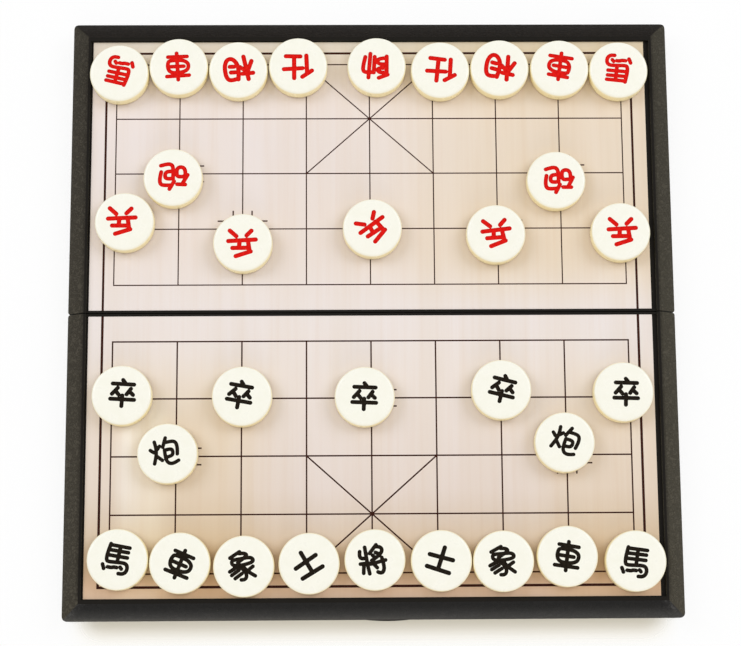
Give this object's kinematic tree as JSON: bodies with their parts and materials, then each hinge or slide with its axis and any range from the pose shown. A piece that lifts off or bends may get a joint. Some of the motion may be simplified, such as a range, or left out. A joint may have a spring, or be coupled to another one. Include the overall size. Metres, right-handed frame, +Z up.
{
  "type": "folding xiangqi travel case",
  "caption": "Folding travel case for xiangqi, opened flat: two hinged half cases with sunk board sheets in sloping rims, a rocking latch, and magnetic disc men standing on the board.",
  "frame": {"origin": "middle of the hinge line, at table level under the opened case", "axes": "+X along the hinge line to the right, +Y from the front half to the rear half, +Z up"},
  "size_m": [0.25, 0.2493, 0.0188],
  "materials": {
    "case_plastic": "black moulded plastic, grained on the sloping rim",
    "latch_plastic": "black moulded plastic",
    "steel_sheet": "thin cold-rolled sheet",
    "board_print": "printed plastic sheet in a pale wood tone with dark lines",
    "pin_steel": "drawn steel wire",
    "man_plastic": "ivory plastic, satin, with the mark sunk and painted"
  },
  "bodies": {
    "front_half": {"front_case": "case_plastic", "front_steel_plate": "steel_sheet", "front_board_sheet": "board_print", "left_hinge_pin": "pin_steel", "right_hinge_pin": "pin_steel", "latch_pin": "pin_steel"},
    "rear_half": {"rear_case": "case_plastic", "rear_steel_plate": "steel_sheet", "rear_board_sheet": "board_print"},
    "latch_plate": {"latch": "latch_plastic"},
    "red_horse_left_man": {"red_horse_left": "man_plastic"},
    "red_chariot_left_man": {"red_chariot_left": "man_plastic"},
    "red_elephant_left_man": {"red_elephant_left": "man_plastic"},
    "red_advisor_left_man": {"red_advisor_left": "man_plastic"},
    "red_general_man": {"red_general": "man_plastic"},
    "red_advisor_right_man": {"red_advisor_right": "man_plastic"},
    "red_elephant_right_man": {"red_elephant_right": "man_plastic"},
    "red_chariot_right_man": {"red_chariot_right": "man_plastic"},
    "red_horse_right_man": {"red_horse_right": "man_plastic"},
    "red_cannon_left_man": {"red_cannon_left": "man_plastic"},
    "red_cannon_right_man": {"red_cannon_right": "man_plastic"},
    "red_soldier_1_man": {"red_soldier_1": "man_plastic"},
    "red_soldier_2_man": {"red_soldier_2": "man_plastic"},
    "red_soldier_3_man": {"red_soldier_3": "man_plastic"},
    "red_soldier_4_man": {"red_soldier_4": "man_plastic"},
    "red_soldier_5_man": {"red_soldier_5": "man_plastic"},
    "black_horse_left_man": {"black_horse_left": "man_plastic"},
    "black_chariot_left_man": {"black_chariot_left": "man_plastic"},
    "black_elephant_left_man": {"black_elephant_left": "man_plastic"},
    "black_advisor_left_man": {"black_advisor_left": "man_plastic"},
    "black_general_man": {"black_general": "man_plastic"},
    "black_advisor_right_man": {"black_advisor_right": "man_plastic"},
    "black_elephant_right_man": {"black_elephant_right": "man_plastic"},
    "black_chariot_right_man": {"black_chariot_right": "man_plastic"},
    "black_horse_right_man": {"black_horse_right": "man_plastic"},
    "black_cannon_left_man": {"black_cannon_left": "man_plastic"},
    "black_cannon_right_man": {"black_cannon_right": "man_plastic"},
    "black_soldier_1_man": {"black_soldier_1": "man_plastic"},
    "black_soldier_2_man": {"black_soldier_2": "man_plastic"},
    "black_soldier_3_man": {"black_soldier_3": "man_plastic"},
    "black_soldier_4_man": {"black_soldier_4": "man_plastic"},
    "black_soldier_5_man": {"black_soldier_5": "man_plastic"}
  },
  "joints": [
    {"name": "fold", "type": "hinge", "parent": "front_half", "child": "rear_half", "pos_m": [0, 0, 0.0022], "axis": [-1, 0, 0], "range_deg": [0, 180]},
    {"name": "latch_rock", "type": "hinge", "parent": "front_half", "child": "latch_plate", "pos_m": [0.0055, -0.1231, 0.00685], "axis": [-1, 0, 0], "range_deg": [0, 12]},
    {"name": "red_horse_left_lift", "type": "slide", "parent": "rear_half", "child": "red_horse_left_man", "axis": [0, 0, 1], "range_m": [0, 0.03]},
    {"name": "red_chariot_left_lift", "type": "slide", "parent": "rear_half", "child": "red_chariot_left_man", "axis": [0, 0, 1], "range_m": [0, 0.03]},
    {"name": "red_elephant_left_lift", "type": "slide", "parent": "rear_half", "child": "red_elephant_left_man", "axis": [0, 0, 1], "range_m": [0, 0.03]},
    {"name": "red_advisor_left_lift", "type": "slide", "parent": "rear_half", "child": "red_advisor_left_man", "axis": [0, 0, 1], "range_m": [0, 0.03]},
    {"name": "red_general_lift", "type": "slide", "parent": "rear_half", "child": "red_general_man", "axis": [0, 0, 1], "range_m": [0, 0.03]},
    {"name": "red_advisor_right_lift", "type": "slide", "parent": "rear_half", "child": "red_advisor_right_man", "axis": [0, 0, 1], "range_m": [0, 0.03]},
    {"name": "red_elephant_right_lift", "type": "slide", "parent": "rear_half", "child": "red_elephant_right_man", "axis": [0, 0, 1], "range_m": [0, 0.03]},
    {"name": "red_chariot_right_lift", "type": "slide", "parent": "rear_half", "child": "red_chariot_right_man", "axis": [0, 0, 1], "range_m": [0, 0.03]},
    {"name": "red_horse_right_lift", "type": "slide", "parent": "rear_half", "child": "red_horse_right_man", "axis": [0, 0, 1], "range_m": [0, 0.03]},
    {"name": "red_cannon_left_lift", "type": "slide", "parent": "rear_half", "child": "red_cannon_left_man", "axis": [0, 0, 1], "range_m": [0, 0.03]},
    {"name": "red_cannon_right_lift", "type": "slide", "parent": "rear_half", "child": "red_cannon_right_man", "axis": [0, 0, 1], "range_m": [0, 0.03]},
    {"name": "red_soldier_1_lift", "type": "slide", "parent": "rear_half", "child": "red_soldier_1_man", "axis": [0, 0, 1], "range_m": [0, 0.03]},
    {"name": "red_soldier_2_lift", "type": "slide", "parent": "rear_half", "child": "red_soldier_2_man", "axis": [0, 0, 1], "range_m": [0, 0.03]},
    {"name": "red_soldier_3_lift", "type": "slide", "parent": "rear_half", "child": "red_soldier_3_man", "axis": [0, 0, 1], "range_m": [0, 0.03]},
    {"name": "red_soldier_4_lift", "type": "slide", "parent": "rear_half", "child": "red_soldier_4_man", "axis": [0, 0, 1], "range_m": [0, 0.03]},
    {"name": "red_soldier_5_lift", "type": "slide", "parent": "rear_half", "child": "red_soldier_5_man", "axis": [0, 0, 1], "range_m": [0, 0.03]},
    {"name": "black_horse_left_lift", "type": "slide", "parent": "front_half", "child": "black_horse_left_man", "axis": [0, 0, 1], "range_m": [0, 0.03]},
    {"name": "black_chariot_left_lift", "type": "slide", "parent": "front_half", "child": "black_chariot_left_man", "axis": [0, 0, 1], "range_m": [0, 0.03]},
    {"name": "black_elephant_left_lift", "type": "slide", "parent": "front_half", "child": "black_elephant_left_man", "axis": [0, 0, 1], "range_m": [0, 0.03]},
    {"name": "black_advisor_left_lift", "type": "slide", "parent": "front_half", "child": "black_advisor_left_man", "axis": [0, 0, 1], "range_m": [0, 0.03]},
    {"name": "black_general_lift", "type": "slide", "parent": "front_half", "child": "black_general_man", "axis": [0, 0, 1], "range_m": [0, 0.03]},
    {"name": "black_advisor_right_lift", "type": "slide", "parent": "front_half", "child": "black_advisor_right_man", "axis": [0, 0, 1], "range_m": [0, 0.03]},
    {"name": "black_elephant_right_lift", "type": "slide", "parent": "front_half", "child": "black_elephant_right_man", "axis": [0, 0, 1], "range_m": [0, 0.03]},
    {"name": "black_chariot_right_lift", "type": "slide", "parent": "front_half", "child": "black_chariot_right_man", "axis": [0, 0, 1], "range_m": [0, 0.03]},
    {"name": "black_horse_right_lift", "type": "slide", "parent": "front_half", "child": "black_horse_right_man", "axis": [0, 0, 1], "range_m": [0, 0.03]},
    {"name": "black_cannon_left_lift", "type": "slide", "parent": "front_half", "child": "black_cannon_left_man", "axis": [0, 0, 1], "range_m": [0, 0.03]},
    {"name": "black_cannon_right_lift", "type": "slide", "parent": "front_half", "child": "black_cannon_right_man", "axis": [0, 0, 1], "range_m": [0, 0.03]},
    {"name": "black_soldier_1_lift", "type": "slide", "parent": "front_half", "child": "black_soldier_1_man", "axis": [0, 0, 1], "range_m": [0, 0.03]},
    {"name": "black_soldier_2_lift", "type": "slide", "parent": "front_half", "child": "black_soldier_2_man", "axis": [0, 0, 1], "range_m": [0, 0.03]},
    {"name": "black_soldier_3_lift", "type": "slide", "parent": "front_half", "child": "black_soldier_3_man", "axis": [0, 0, 1], "range_m": [0, 0.03]},
    {"name": "black_soldier_4_lift", "type": "slide", "parent": "front_half", "child": "black_soldier_4_man", "axis": [0, 0, 1], "range_m": [0, 0.03]},
    {"name": "black_soldier_5_lift", "type": "slide", "parent": "front_half", "child": "black_soldier_5_man", "axis": [0, 0, 1], "range_m": [0, 0.03]}
  ]
}
